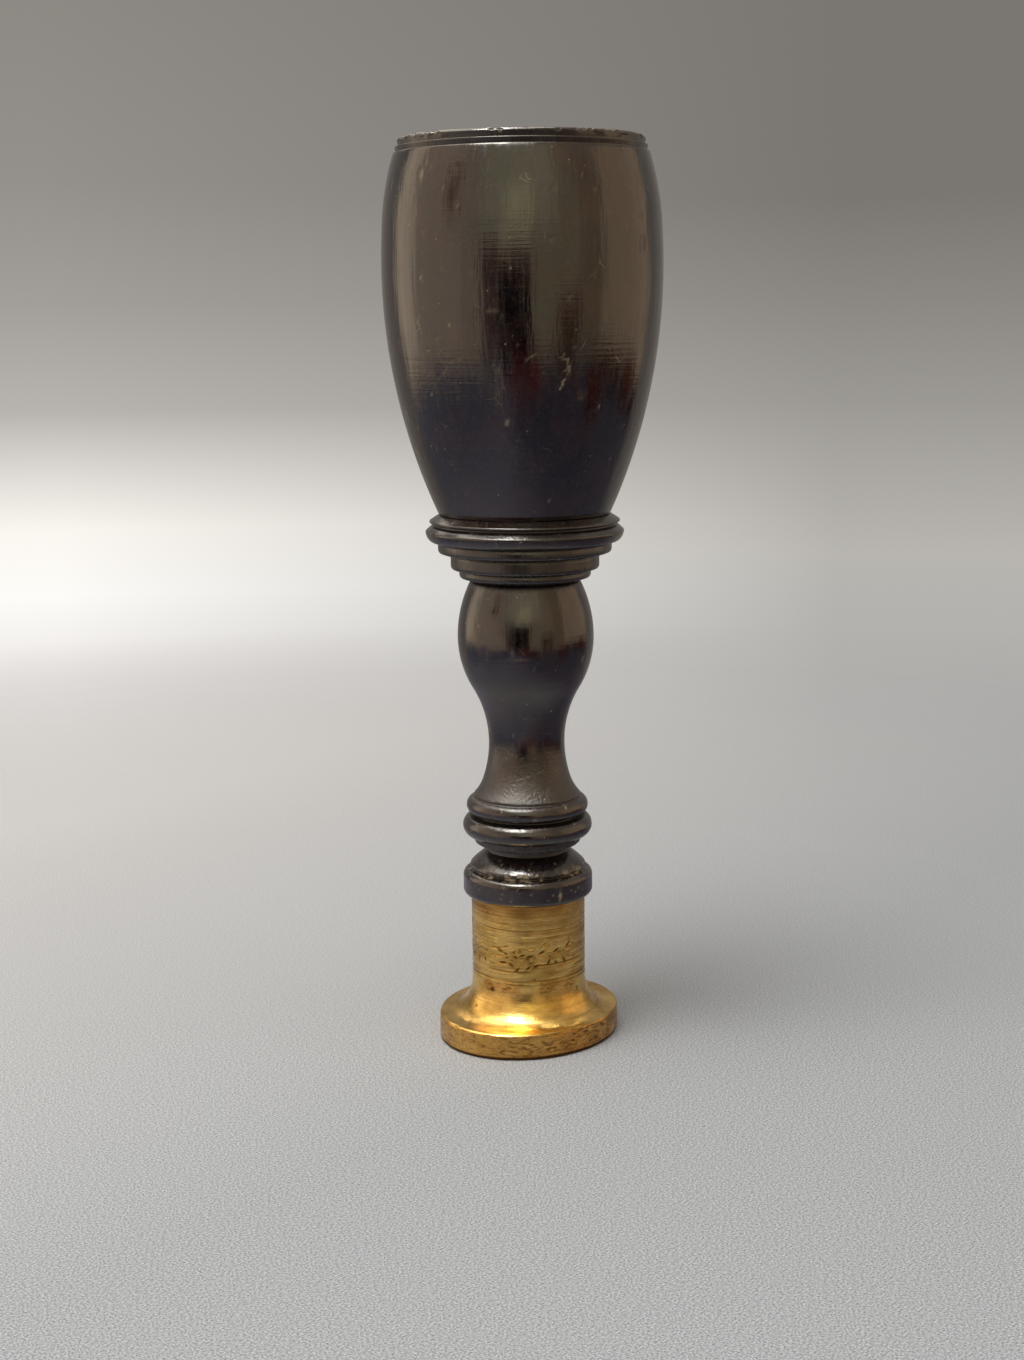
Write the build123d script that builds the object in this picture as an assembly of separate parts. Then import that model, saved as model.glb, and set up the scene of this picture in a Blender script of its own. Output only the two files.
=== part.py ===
from build123d import *
import os
from math import atan2, cos, radians, sin, sqrt, tan

# A desk seal: a turned wooden handle in two glued pieces, screwed onto a brass matrix with an oval face.
# Millimetres, +Z up. The origin is the centre of the seal face, on the turning axis, and the oval's long axis is X.

# Brass matrix: oval foot, cove, round shank, flat shoulder and tang
face_length = 21.1
face_width = 18.4
rim_height = 2.85
rim_rounding = 0.3
cove_width = 2.65
cove_height = 3.7
shank_radius = 6.2
shoulder_height = 15.85
tang_radius = 2.5
tang_length = 10.0
tang_chamfer = 0.6

# Fits between the pieces
tang_clearance = 0.15
tang_end_gap = 0.6
tenon_glue_gap = 0.1
tenon_end_gap = 0.8

# Drilled hole in the stem: slope of a common drill's point, and the small countersink at its mouth
drill_point_slope = 31.0
countersink = 0.4

# Collar on the brass: band, quirk line, dome and neck
collar_radius = 7.05
collar_height = 2.8
collar_foot_rounding = 0.6
collar_top_rounding = 0.75
collar_quirk_depth = 0.25
collar_quirk_height = 0.2
dome_radius = 6.3
dome_edge_height = 0.35
dome_height = 1.55
dome_swell = 0.06
neck_radius = 4.4
neck_height = 0.55

# Two beads above the neck, on a pair of flat fillets
lower_fillet_radius = 4.95
lower_fillet_height = 0.3
upper_fillet_radius = 5.75
upper_fillet_height = 0.75
lower_bead_radius = 7.03
lower_bead_height = 2.4
bead_groove_radius = 5.75
bead_groove_height = 0.05
upper_bead_radius = 6.6
upper_bead_height = 1.9
flare_quirk_radius = 5.85
flare_quirk_height = 0.15

# Baluster: flare, waist and swell
flare_radius = 5.9
flare_height = 5.85
flare_turn_radius = 4.76
flare_turn_height = 1.85
waist_radius = 4.1
swell_radius = 7.3
swell_height = 11.5
swell_turn = 0.52
swell_top_radius = 5.76
swell_top_height = 6.25

# Stack of rings under the barrel: three steps, a bevelled bead and a lip
first_step_radius = 7.02
first_step_height = 0.95
second_step_radius = 7.92
second_step_height = 1.75
third_step_radius = 9.25
third_step_height = 1.19
step_rounding = 0.55
stack_bead_radius = 10.55
stack_bead_root = 9.6
stack_bead_lower_height = 1.3
stack_bead_upper_height = 0.69
stack_groove_radius = 9.8
lip_radius = 10.12
lip_bevel_height = 0.2
lip_edge_height = 0.2
lip_shelf_height = 0.65

# Tenon on top of the stem
tenon_radius = 5.0
tenon_length = 14.0
tenon_chamfer = 0.8

# Barrel head
foot_radius = 9.09
belly_radius = 14.65
belly_height = 25.72
shoulder_radius = 14.45
shoulder_rise = 5.1
rim_radius = 12.8
rim_rise = 7.5
top_edge_rounding = 0.25
crown_height = 0.5
line_drops = (0.72, 1.35)
line_depth = 0.15

# Directions on a half outline, as (outwards, upwards)
OUT = (1, 0)
IN = (-1, 0)
UP = (0, 1)


class Turning:
    """Half outline of a turned piece: each cut goes to a new radius, with a rise from where the last cut ended."""

    def __init__(self, radius, height):
        self.start = Vector(radius, height)
        self.tip = self.start
        self.edges = []

    def reach(self, radius, rise):
        return Vector(radius, self.tip.Y + rise)

    def add(self, edge, end):
        self.edges.append(edge)
        self.tip = end
        return edge

    def straight(self, radius, rise=0.0):
        end = self.reach(radius, rise)
        return self.add(Line(self.tip, end), end)

    def bulge(self, crest_radius, crest_rise, radius, rise):
        end = self.reach(radius, rise)
        crest = self.reach(crest_radius, crest_rise)
        return self.add(ThreePointArc(self.tip, crest, end), end)

    def leave(self, direction, radius, rise):
        end = self.reach(radius, rise)
        return self.add(TangentArc(self.tip, end, tangent=direction), end)

    def arrive(self, direction, radius, rise):
        end = self.reach(radius, rise)
        backwards = -Vector(direction)
        return self.add(TangentArc(end, self.tip, tangent=backwards), end)

    def hollow(self, radius, rise):
        end = self.reach(radius, rise)
        centre = (self.tip.X, end.Y)
        return self.add(EllipticalCenterArc(centre, self.tip.X - radius, rise, start_angle=180), end)

    def solid(self):
        self.edges.append(Line(self.tip, self.start))
        return revolve(Plane.XZ * make_face(self.edges), Axis.Z)


def bead(outline, radius, root_radius, height):
    """A half-round ring from the last cut to a root radius above it."""
    outline.bulge(radius, height / 2, root_radius, height)


def step(outline, radius, height):
    """A flat ring with its lower edge rounded, over the shadow of its own underside."""
    outline.straight(radius - step_rounding)
    outline.leave(OUT, radius, step_rounding)
    outline.straight(radius, height - step_rounding)


def make_matrix():
    """Oval foot with rounded edges, and on it the turned cove, shank, shoulder and tang."""
    foot = extrude(Ellipse(face_length / 2, face_width / 2), rim_height)
    foot = fillet(foot.faces().filter_by(Axis.Z).edges(), rim_rounding)
    cove_foot_radius = shank_radius + cove_width
    outline = Turning(0, 0)
    outline.straight(cove_foot_radius)
    outline.straight(cove_foot_radius, rim_height)
    outline.hollow(shank_radius, cove_height)
    outline.straight(shank_radius, shoulder_height - rim_height - cove_height)
    outline.straight(tang_radius)
    outline.straight(tang_radius, tang_length - tang_chamfer)
    outline.straight(tang_radius - tang_chamfer, tang_chamfer)
    outline.straight(0)
    land = Ellipse(face_length / 2 - rim_rounding, face_width / 2 - rim_rounding)
    return foot + (outline.solid() & extrude(land, shoulder_height + tang_length))


def bore_for_tang(outline):
    """Blind drilled hole, from its point on the axis down to the countersunk mouth."""
    radius = tang_radius + tang_clearance
    depth = tang_length + tang_end_gap
    outline.straight(radius, -radius * tan(radians(drill_point_slope)))
    outline.straight(radius, countersink - depth)
    outline.straight(radius + countersink, -countersink)


def turn_collar(outline):
    outline.straight(collar_radius - collar_foot_rounding)
    outline.leave(OUT, collar_radius, collar_foot_rounding)
    outline.straight(collar_radius, collar_height - collar_foot_rounding - collar_top_rounding)
    outline.leave(UP, collar_radius - collar_top_rounding, collar_top_rounding)
    outline.straight(dome_radius - collar_quirk_depth, collar_quirk_height / 2)
    outline.straight(dome_radius, collar_quirk_height / 2)
    outline.straight(dome_radius, dome_edge_height)
    middle_radius = (dome_radius + neck_radius) / 2
    outline.bulge(middle_radius + dome_swell, dome_height / 2 + dome_swell, neck_radius, dome_height)
    outline.straight(neck_radius, neck_height)


def turn_lower_beads(outline):
    outline.straight(lower_fillet_radius)
    outline.straight(lower_fillet_radius, lower_fillet_height)
    outline.straight(upper_fillet_radius)
    outline.straight(upper_fillet_radius, upper_fillet_height)
    bead(outline, lower_bead_radius, bead_groove_radius, lower_bead_height)
    outline.straight(bead_groove_radius, bead_groove_height)
    bead(outline, upper_bead_radius, flare_quirk_radius, upper_bead_height)
    outline.straight(flare_radius, flare_quirk_height)


def turn_baluster(outline):
    """Hollow flare up to the waist, an S-curve out to the swell, and a round shoulder under the rings."""
    upper_flare_height = flare_height - flare_turn_height
    lean = 2 * atan2(flare_turn_radius - waist_radius, upper_flare_height)
    outline.arrive((-sin(lean), cos(lean)), flare_turn_radius, flare_turn_height)
    outline.arrive(UP, waist_radius, upper_flare_height)
    turn_radius = waist_radius + swell_turn * (swell_radius - waist_radius)
    outline.leave(UP, turn_radius, swell_turn * swell_height)
    outline.arrive(UP, swell_radius, (1 - swell_turn) * swell_height)
    outline.leave(UP, swell_top_radius, swell_top_height)


def turn_ring_stack(outline):
    step(outline, first_step_radius, first_step_height)
    step(outline, second_step_radius, second_step_height)
    step(outline, third_step_radius, third_step_height)
    outline.straight(stack_bead_root)
    outline.arrive(UP, stack_bead_radius, stack_bead_lower_height)
    outline.straight(stack_groove_radius, stack_bead_upper_height)
    outline.straight(lip_radius, lip_bevel_height)
    outline.straight(lip_radius, lip_edge_height)
    outline.straight(foot_radius, lip_shelf_height)


def turn_tenon(outline):
    outline.straight(tenon_radius)
    outline.straight(tenon_radius, tenon_length - tenon_chamfer)
    outline.straight(tenon_radius - tenon_chamfer, tenon_chamfer)
    outline.straight(0)


def make_stem():
    """Collar, beads, baluster and ring stack in one turning, with the bore below and the tenon on top."""
    point_rise = (tang_radius + tang_clearance) * tan(radians(drill_point_slope))
    outline = Turning(0, shoulder_height + tang_length + tang_end_gap + point_rise)
    bore_for_tang(outline)
    turn_collar(outline)
    turn_lower_beads(outline)
    turn_baluster(outline)
    turn_ring_stack(outline)
    seam_height = outline.tip.Y
    turn_tenon(outline)
    return outline.solid(), seam_height


def make_head(seam_height):
    """Barrel on a flat foot: one long arc to the belly, a gentle arc to the shoulder and a closer one to the rim."""
    socket_radius = tenon_radius + tenon_glue_gap
    socket_depth = tenon_length + tenon_end_gap
    outline = Turning(0, seam_height + socket_depth)
    outline.straight(socket_radius)
    outline.straight(socket_radius, -socket_depth)
    outline.straight(foot_radius)
    outline.arrive(UP, belly_radius, belly_height)
    upper_belly = outline.leave(UP, shoulder_radius, shoulder_rise)
    shoulder = outline.leave(upper_belly % 1, rim_radius, rim_rise)
    top_edge = outline.tip.Y + top_edge_rounding
    outline.leave(shoulder % 1, rim_radius - top_edge_rounding, top_edge_rounding)
    outline.arrive(IN, 0, crown_height)
    head = outline.solid()
    for drop in line_drops:
        height = top_edge - drop
        radius = shoulder.arc_center.X + sqrt(shoulder.radius**2 - (height - shoulder.arc_center.Y) ** 2)
        head -= Pos(0, 0, height) * Torus(radius, line_depth)
    return head


matrix = make_matrix()
stem, seam_height = make_stem()
head = make_head(seam_height)

os.makedirs("parts", exist_ok=True)
for name, piece in {"matrix": matrix, "stem": stem, "head": head}.items():
    export_step(piece, f"parts/{name}.step")
    print(name, "volume", round(piece.volume, 1), "size", piece.bounding_box().size)
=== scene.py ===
# %% [markdown]
# # A desk seal in black turned wood and brass
#
# The object is a wax seal stamp, 96 mm tall: a barrel grip and a ringed stem, turned from pale hardwood and stained
# black, screwed onto a brass matrix with an oval face. The CAD model gives the exact shapes and the moving bodies.
# This lesson gives the same three pieces their finished surfaces: eased edges, chips, tool lines, polish and patina.

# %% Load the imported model
import functools
import math
import random

import bmesh
import bpy
import numpy as np
from mathutils import Matrix, Vector, noise
from mathutils.geometry import interpolate_bezier


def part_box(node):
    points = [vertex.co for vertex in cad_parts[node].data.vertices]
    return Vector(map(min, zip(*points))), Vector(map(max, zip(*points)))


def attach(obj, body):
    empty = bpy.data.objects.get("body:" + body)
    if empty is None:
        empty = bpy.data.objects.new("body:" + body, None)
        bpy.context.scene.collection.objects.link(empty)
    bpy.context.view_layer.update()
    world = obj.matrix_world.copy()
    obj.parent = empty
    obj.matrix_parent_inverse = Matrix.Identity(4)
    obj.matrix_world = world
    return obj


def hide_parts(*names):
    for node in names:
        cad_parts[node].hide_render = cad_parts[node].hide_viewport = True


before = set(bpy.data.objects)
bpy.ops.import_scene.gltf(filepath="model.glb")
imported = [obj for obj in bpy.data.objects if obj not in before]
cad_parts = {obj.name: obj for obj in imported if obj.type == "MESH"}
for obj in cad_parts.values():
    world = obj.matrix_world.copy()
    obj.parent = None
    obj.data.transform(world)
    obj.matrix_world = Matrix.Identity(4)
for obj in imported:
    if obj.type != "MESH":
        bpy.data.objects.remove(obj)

MM = 0.001
UP = Vector((0, 0, 1))
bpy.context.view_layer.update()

# %% [markdown]
# ## The camera
#
# A long lens from close by looks a little down on the stamp. A camera can be placed by eye, but the rings of a turned
# piece are circles, so their ellipses in a picture give the height, the tilt and the lens exactly. The oval foot
# gives the turn about the upright axis. Sensor width counts along the longer side of the picture, here the height.

# %% Camera
PHOTO_HEIGHT = 1360
FOCAL_LENGTH_IN_PIXELS = 2000
front_turn = math.radians(-48.6)
look_down = math.radians(10.27)
camera_roll = math.radians(-0.60)
CAMERA_DISTANCE = 212.0
CAMERA_HEIGHT = 77.8
CAMERA_LEFT = 1.52
to_camera = Vector((math.sin(front_turn), -math.cos(front_turn), 0))
to_right = Vector((math.cos(front_turn), math.sin(front_turn), 0))

camera_data = bpy.data.cameras.new("camera")
camera_data.sensor_width = 36
camera_data.lens = camera_data.sensor_width * FOCAL_LENGTH_IN_PIXELS / PHOTO_HEIGHT
camera_data.clip_start = 10 * MM
camera = bpy.data.objects.new("camera", camera_data)
bpy.context.collection.objects.link(camera)
sight = -to_camera * math.cos(look_down) - UP * math.sin(look_down)
aim = sight.to_track_quat("-Z", "Y").to_matrix().to_4x4() @ Matrix.Rotation(camera_roll, 4, "Z")
stand = (to_camera * CAMERA_DISTANCE - to_right * CAMERA_LEFT + UP * CAMERA_HEIGHT) * MM
camera.matrix_world = Matrix.Translation(stand) @ aim
bpy.context.scene.camera = camera
print("camera", round(stand.length / MM), "mm from the seal face, lens", round(camera_data.lens, 1), "mm")

# %% [markdown]
# ## Small helpers
#
# Colours are picked on a screen, so they are sRGB hex values, while a shader works in linear light: one function turns
# one into the other. Shader trees and geometry trees are both nodes joined by wires, so one function adds any node,
# sets its options, and wires or fills its inputs. Each tree gets its own short form of it, called `add`.

# %% Helpers for colours and nodes
def linear(hex_colour):
    """An sRGB hex colour as linear red, green, blue and alpha."""
    channels = [int(hex_colour[place:place + 2], 16) / 255 for place in (1, 3, 5)]
    return tuple(c / 12.92 if c <= 0.04045 else ((c + 0.055) / 1.055) ** 2.4 for c in channels) + (1.0,)


def put(tree, kind, inputs=None, **options):
    """Adds a node: each input is filled with a value, or wired to an output or to a node's first working output."""
    node = tree.nodes.new(kind)
    for option, value in options.items():
        setattr(node, option, value)
    for socket, value in (inputs or {}).items():
        if isinstance(value, bpy.types.Node):
            value = next(output for output in value.outputs if output.enabled)
        if isinstance(value, bpy.types.NodeSocket):
            tree.links.new(value, node.inputs[socket])
        else:
            node.inputs[socket].default_value = value
    return node


def new_material(name):
    """An empty material and its node tree."""
    material = bpy.data.materials.new(name)
    material.use_nodes = True
    material.node_tree.nodes.clear()
    return material, material.node_tree


def set_stops(ramp, stops):
    """Gives a colour ramp its stops, each a place from 0 to 1 and a hex colour."""
    elements = ramp.color_ramp.elements
    while len(elements) < len(stops):
        elements.new(0.5)
    for element, (place, shade) in zip(elements, stops):
        element.position = place
        element.color = linear(shade)


def show(name, data):
    """An object with this data, linked to the scene."""
    shown_object = bpy.data.objects.new(name, data)
    bpy.context.collection.objects.link(shown_object)
    return shown_object


print("mid grey in linear light:", round(linear("#808080")[0], 3))

# %% [markdown]
# ## Black polished hardwood
#
# The grip is a pale, close-grained hardwood, turned, stained black and friction-polished on the lathe. To the eye it is
# nearly black with brown and violet patches, and most of what shows is the room mirrored in the polish. The lathe
# leaves fine level lines and the grain leaves upright streaks, and both break up the mirror image. Handling leaves hair
# scratches and pinpoint nicks. Where the stain is chipped off, the attribute `bare` lets the pale wood through, and
# `dirt_and_shade` darkens and dulls crevices and some bands: partly dirt and dull polish, partly painted shade under
# the rings and in the crevices. Shellac has an IOR near 1.5. It is raised here, because a camera lifts the dark parts
# of such a picture, and the mirrored room would look too faint otherwise.

# %% Wood colours
wood, tree = new_material("ebonised_hardwood_turned_and_polished")
add = functools.partial(put, tree)
place = add("ShaderNodeTexCoord").outputs["Object"]
bare, rubbed, coarse, dirt_and_shade = (add("ShaderNodeAttribute", attribute_name=layer).outputs["Fac"]
                               for layer in ("bare", "rubbed", "coarse", "dirt_and_shade"))

# Stain with brown patches about 5 mm across, and a fine mottle of 0.35 mm where the polish is dry in the pores
patches = add("ShaderNodeTexNoise", {"Vector": place, "Scale": 1 / (5 * MM), "Detail": 5.0, "Roughness": 0.65})
stain = add("ShaderNodeValToRGB", {"Fac": patches})
set_stops(stain, ((0.42, "#08070c"), (0.70, "#2a1512")))
mottle = add("ShaderNodeTexNoise", {"Vector": place, "Scale": 1 / (0.35 * MM), "Detail": 3.0, "Roughness": 0.7})
mottle_amount = add("ShaderNodeMapRange", {"Value": mottle, 1: 0.48, 2: 0.75, 3: 0.0, 4: 0.8})
mottled = add("ShaderNodeMix", {"Factor": mottle_amount, 6: stain, 7: linear("#332a25")}, data_type="RGBA")

# Worn places show the brown under the stain, broken up by 0.4 mm grain
grain_place = add("ShaderNodeMapping", {"Vector": place, "Scale": (2500, 2500, 350)})
grain = add("ShaderNodeTexNoise", {"Vector": grain_place, "Scale": 1.0, "Detail": 3.0})
rub_amount = add("ShaderNodeMath", {0: rubbed, 1: grain}, operation="MULTIPLY")
rub_colour = add("ShaderNodeMix", {"Factor": rub_amount, 6: mottled, 7: linear("#54402e")}, data_type="RGBA")
pale = add("ShaderNodeMix", {"Factor": grain, 6: linear("#7d5f36"), 7: linear("#d3c39c")}, data_type="RGBA")

# Pinpoint nicks in the polish, one in some of the 1.3 mm cells
cells = add("ShaderNodeTexVoronoi", {"Vector": place, "Scale": 1 / (1.3 * MM), "Randomness": 1.0})
nick_size = add("ShaderNodeSeparateColor", {"Color": cells.outputs["Color"]}).outputs["Red"]
nick_reach = add("ShaderNodeMapRange", {"Value": nick_size, 1: 0.5, 2: 1.0, 3: 0.0, 4: 0.085})
nick = add("ShaderNodeMath", {0: cells.outputs["Distance"], 1: nick_reach}, operation="LESS_THAN")

# Hair scratches: the borders of bent 7 mm cells, kept only in short runs
bend = add("ShaderNodeTexNoise", {"Vector": place, "Scale": 1 / (4 * MM), "Detail": 2.0}).outputs["Color"]
bent_place = add("ShaderNodeVectorMath", {0: bend, 1: (0.006, 0.006, 0.006), 2: place}, operation="MULTIPLY_ADD")
webs = add("ShaderNodeTexVoronoi", {"Vector": bent_place, "Scale": 1 / (7 * MM)}, feature="DISTANCE_TO_EDGE")
hair = add("ShaderNodeMath", {0: webs.outputs["Distance"], 1: 0.006}, operation="LESS_THAN")
runs = add("ShaderNodeTexNoise", {"Vector": place, "Scale": 1 / (2.2 * MM), "Detail": 1.0})
hair_run = add("ShaderNodeMapRange", {"Value": runs, 1: 0.6, 2: 0.75, 3: 0.0, 4: 0.25})
scratch = add("ShaderNodeMath", {0: hair, 1: hair_run}, operation="MULTIPLY")
nick_or_scratch = add("ShaderNodeMath", {0: nick, 1: 0.35, 2: scratch}, operation="MULTIPLY_ADD")
pale_amount = add("ShaderNodeMath", {0: nick_or_scratch, 1: bare}, operation="MAXIMUM", use_clamp=True)
worn_colour = add("ShaderNodeMix", {"Factor": pale_amount, 6: rub_colour, 7: pale}, data_type="RGBA")
# Crevices and some bands turn dark brown: partly dirt, partly painted shade
colour = add("ShaderNodeMix", {"Factor": dirt_and_shade, 6: worn_colour, 7: linear("#0e0908")}, data_type="RGBA")

# %% Wood surface
# The lathe's level lines, 0.3 mm apart so that they still show in the picture
line_place = add("ShaderNodeMapping", {"Vector": place, "Scale": (90, 90, 1 / (0.3 * MM))})
lines = add("ShaderNodeTexNoise", {"Vector": line_place, "Scale": 1.0, "Detail": 3.0, "Roughness": 0.6})
line_bump = add("ShaderNodeBump", {"Height": lines, "Strength": 0.8, "Distance": 0.016 * MM})

# Upright grain of 0.5 mm under the polish, and pits of 0.35 mm where the turning was left coarser
fibre_place = add("ShaderNodeMapping", {"Vector": place, "Scale": (2000, 2000, 120)})
fibres = add("ShaderNodeTexNoise", {"Vector": fibre_place, "Scale": 1.0, "Detail": 3.0})
fibre_bump = add("ShaderNodeBump", {"Height": fibres, "Strength": 0.8, "Distance": 0.035 * MM, "Normal": line_bump})
pits = add("ShaderNodeTexNoise", {"Vector": place, "Scale": 1 / (0.35 * MM), "Detail": 4.0, "Roughness": 0.65})
pit_height = add("ShaderNodeMath", {0: pits, 1: coarse}, operation="MULTIPLY")
pit_bump = add("ShaderNodeBump", {"Height": pit_height, "Strength": 1.0, "Distance": 0.14 * MM, "Normal": fibre_bump})

# Polish is cloudier in patches and along the grain, and dull in crevices and where wood is bare
cloud = add("ShaderNodeTexNoise", {"Vector": place, "Scale": 1 / (3 * MM), "Detail": 5.0, "Roughness": 0.7})
polish = add("ShaderNodeMapRange", {"Value": cloud, 1: 0.3, 2: 0.75, 3: 0.0, 4: 0.1})
streaks = add("ShaderNodeMapRange", {"Value": fibres, 1: 0.4, 2: 0.65, 3: 0.05, 4: 0.16})
streaky = add("ShaderNodeMath", {0: polish, 1: streaks}, operation="ADD")
worn_polish = add("ShaderNodeMath", {0: pale_amount, 1: 0.4, 2: streaky}, operation="MULTIPLY_ADD")
dull = add("ShaderNodeMath", {0: dirt_and_shade, 1: 0.22, 2: worn_polish}, operation="MULTIPLY_ADD")
shader = add("ShaderNodeBsdfPrincipled", {"Base Color": colour, "Roughness": dull, "IOR": 1.8, "Normal": pit_bump})
add("ShaderNodeOutputMaterial", {"Surface": shader})
print("wood material:", len(tree.nodes), "nodes")

# %% [markdown]
# ## Aged turned brass
#
# The matrix was turned from brass bar and left unlacquered. Handled faces stay golden, while hollows, tool lines and
# gouges hold brown patina, and old damp leaves dark spots. The attribute `grime_and_shade` marks the hollows, and
# `tarnish_and_shade` the faces where patina has crept over the metal in fine level shreds. Both also carry painted
# shade: the top of the shank under the collar, the lower edge of the rim and the rim's side away from the light are
# darkened. Level tool lines stretch every highlight upright, so the roughness is moderate and the fine lines are in
# the bump.

# %% Brass colours
brass, tree = new_material("aged_turned_brass")
add = functools.partial(put, tree)
place = add("ShaderNodeTexCoord").outputs["Object"]
grime_and_shade, tarnish_and_shade = (add("ShaderNodeAttribute", attribute_name=layer).outputs["Fac"] for layer in ("grime_and_shade", "tarnish_and_shade"))

# Clouds of patina about 4 mm across, drawn out level as the tool and the hand leave them
cloud_place = add("ShaderNodeMapping", {"Vector": place, "Scale": (250, 250, 500)})
clouds = add("ShaderNodeTexNoise", {"Vector": cloud_place, "Scale": 1.0, "Detail": 7.0, "Roughness": 0.7})
metal = add("ShaderNodeValToRGB", {"Fac": clouds})
set_stops(metal, ((0.34, "#bc9446"), (0.62, "#f2cd7c")))

# Tarnished faces have an orange film over the metal
film = add("ShaderNodeMath", {0: tarnish_and_shade, 1: 0.65}, operation="MULTIPLY")
filmed = add("ShaderNodeMix", {"Factor": film, 6: metal, 7: linear("#bd8243")}, data_type="RGBA")

# Fine tool lines, 0.25 mm apart so that they still show in the picture
line_place = add("ShaderNodeMapping", {"Vector": place, "Scale": (60, 60, 1 / (0.25 * MM))})
lines = add("ShaderNodeTexNoise", {"Vector": line_place, "Scale": 1.0, "Detail": 3.0})
line_stain = add("ShaderNodeMapRange", {"Value": lines, 1: 0.46, 2: 0.3, 3: 0.0, 4: 0.4})

# Shreds of patina, 0.8 mm long and 0.25 mm tall
shred_place = add("ShaderNodeMapping", {"Vector": place, "Scale": (1250, 1250, 4000)})
shreds = add("ShaderNodeTexNoise", {"Vector": shred_place, "Scale": 1.0, "Detail": 5.0, "Roughness": 0.7})
shred_edge = add("ShaderNodeMapRange", {"Value": shreds, 1: 0.45, 2: 0.62, 3: 0.0, 4: 0.95})
creep = add("ShaderNodeMath", {0: tarnish_and_shade, 1: shred_edge}, operation="MULTIPLY")

# Damp spots: a few dark dots in 3 mm cells, ragged at the edge
ragged = add("ShaderNodeTexNoise", {"Vector": place, "Scale": 1 / (0.5 * MM), "Detail": 2.0})
cells = add("ShaderNodeTexVoronoi", {"Vector": place, "Scale": 1 / (3 * MM)})
spot_size = add("ShaderNodeSeparateColor", {"Color": cells.outputs["Color"]}).outputs["Green"]
spot_reach = add("ShaderNodeMapRange", {"Value": spot_size, 1: 0.6, 2: 1.0, 3: 0.0, 4: 0.13})
spot_edge = add("ShaderNodeMath", {0: ragged, 1: 0.12, 2: spot_reach}, operation="MULTIPLY_ADD")
spot_core = add("ShaderNodeMath", {0: spot_edge, 1: cells.outputs["Distance"]}, operation="SUBTRACT")
spots = add("ShaderNodeMapRange", {"Value": spot_core, 1: 0.06, 2: 0.12, 3: 0.0, 4: 0.75})

line_dirt = add("ShaderNodeMath", {0: grime_and_shade, 1: line_stain}, operation="ADD")
dirt = add("ShaderNodeMath", {0: line_dirt, 1: creep}, operation="MAXIMUM")
all_dirt = add("ShaderNodeMath", {0: dirt, 1: spots}, operation="MAXIMUM", use_clamp=True)
colour = add("ShaderNodeMix", {"Factor": all_dirt, 6: filmed, 7: linear("#4b3017")}, data_type="RGBA")

# %% Brass surface
# Small dents of 0.6 mm under the tool lines, and patina slightly raised at its edges
dents = add("ShaderNodeTexNoise", {"Vector": place, "Scale": 1 / (0.6 * MM), "Detail": 4.0})
line_bump = add("ShaderNodeBump", {"Height": lines, "Strength": 0.8, "Distance": 0.027 * MM})
dent_bump = add("ShaderNodeBump", {"Height": dents, "Strength": 0.6, "Distance": 0.03 * MM, "Normal": line_bump})
creep_bump = add("ShaderNodeBump", {"Height": creep, "Strength": 0.6, "Distance": 0.03 * MM, "Normal": dent_bump})
dull = add("ShaderNodeMapRange", {"Value": all_dirt, 1: 0.0, 2: 1.0, 3: 0.24, 4: 0.5})
shader = add("ShaderNodeBsdfPrincipled", {"Base Color": colour, "Metallic": 1.0, "Roughness": dull,
                                          "Normal": creep_bump})
add("ShaderNodeOutputMaterial", {"Surface": shader})
print("brass material:", len(tree.nodes), "nodes")

# %% [markdown]
# ## Outlines of the turned pieces
#
# A turner works from a half outline, and so does this lesson. The CAD node's mesh is loose triangles, so a copy is
# welded and cut along the middle, and the cut edges are walked from one end of the axis to the other. The chords
# between the points are then replaced by smooth curves, except at the corners, which get a small easing: no edge on
# a polished turning is perfectly sharp, and that easing is what catches the light.

# %% Half outline of a CAD node
def half_outline(node):
    """Points (radius, height) in mm along a turned node, from its lower point on the axis to its upper one."""
    tiny = 0.001 * MM
    cut = bmesh.new()
    cut.from_mesh(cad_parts[node].data)
    bmesh.ops.remove_doubles(cut, verts=cut.verts, dist=tiny)
    for across in ((1, 0, 0), (0, 1, 0)):
        everything = cut.verts[:] + cut.edges[:] + cut.faces[:]
        section = bmesh.ops.bisect_plane(cut, geom=everything, dist=tiny, plane_co=(0, 0, 0), plane_no=across)
    neighbours = {}
    for edge in section["geom_cut"]:
        if isinstance(edge, bmesh.types.BMEdge) and min(vert.co.x for vert in edge.verts) > -tiny:
            for vert in edge.verts:
                neighbours.setdefault(vert, []).append(edge.other_vert(vert))
    on_axis = [vert for vert in neighbours if abs(vert.co.x) < tiny]
    walk = [min(on_axis, key=lambda vert: vert.co.z)]
    while True:
        onward = [vert for vert in neighbours[walk[-1]] if vert not in walk[-2:]]
        if not onward:
            break
        walk.append(onward[0])
    outline = [Vector((vert.co.x, 0, vert.co.z)) / MM for vert in walk]
    cut.free()
    return outline


outlines = {node: half_outline(node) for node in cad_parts}
print("points on each outline:", {node: len(outline) for node, outline in outlines.items()})

# %% Fair an outline
CORNER = math.radians(25)
STRAIGHT = math.radians(0.4)


def without_spare_points(outline):
    """Drops the points that lie on straight runs."""
    kept = [outline[0]]
    for point, after in zip(outline[1:], outline[2:]):
        if (point - kept[-1]).angle(after - point) > STRAIGHT:
            kept.append(point)
    return kept + [outline[-1]]


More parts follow.
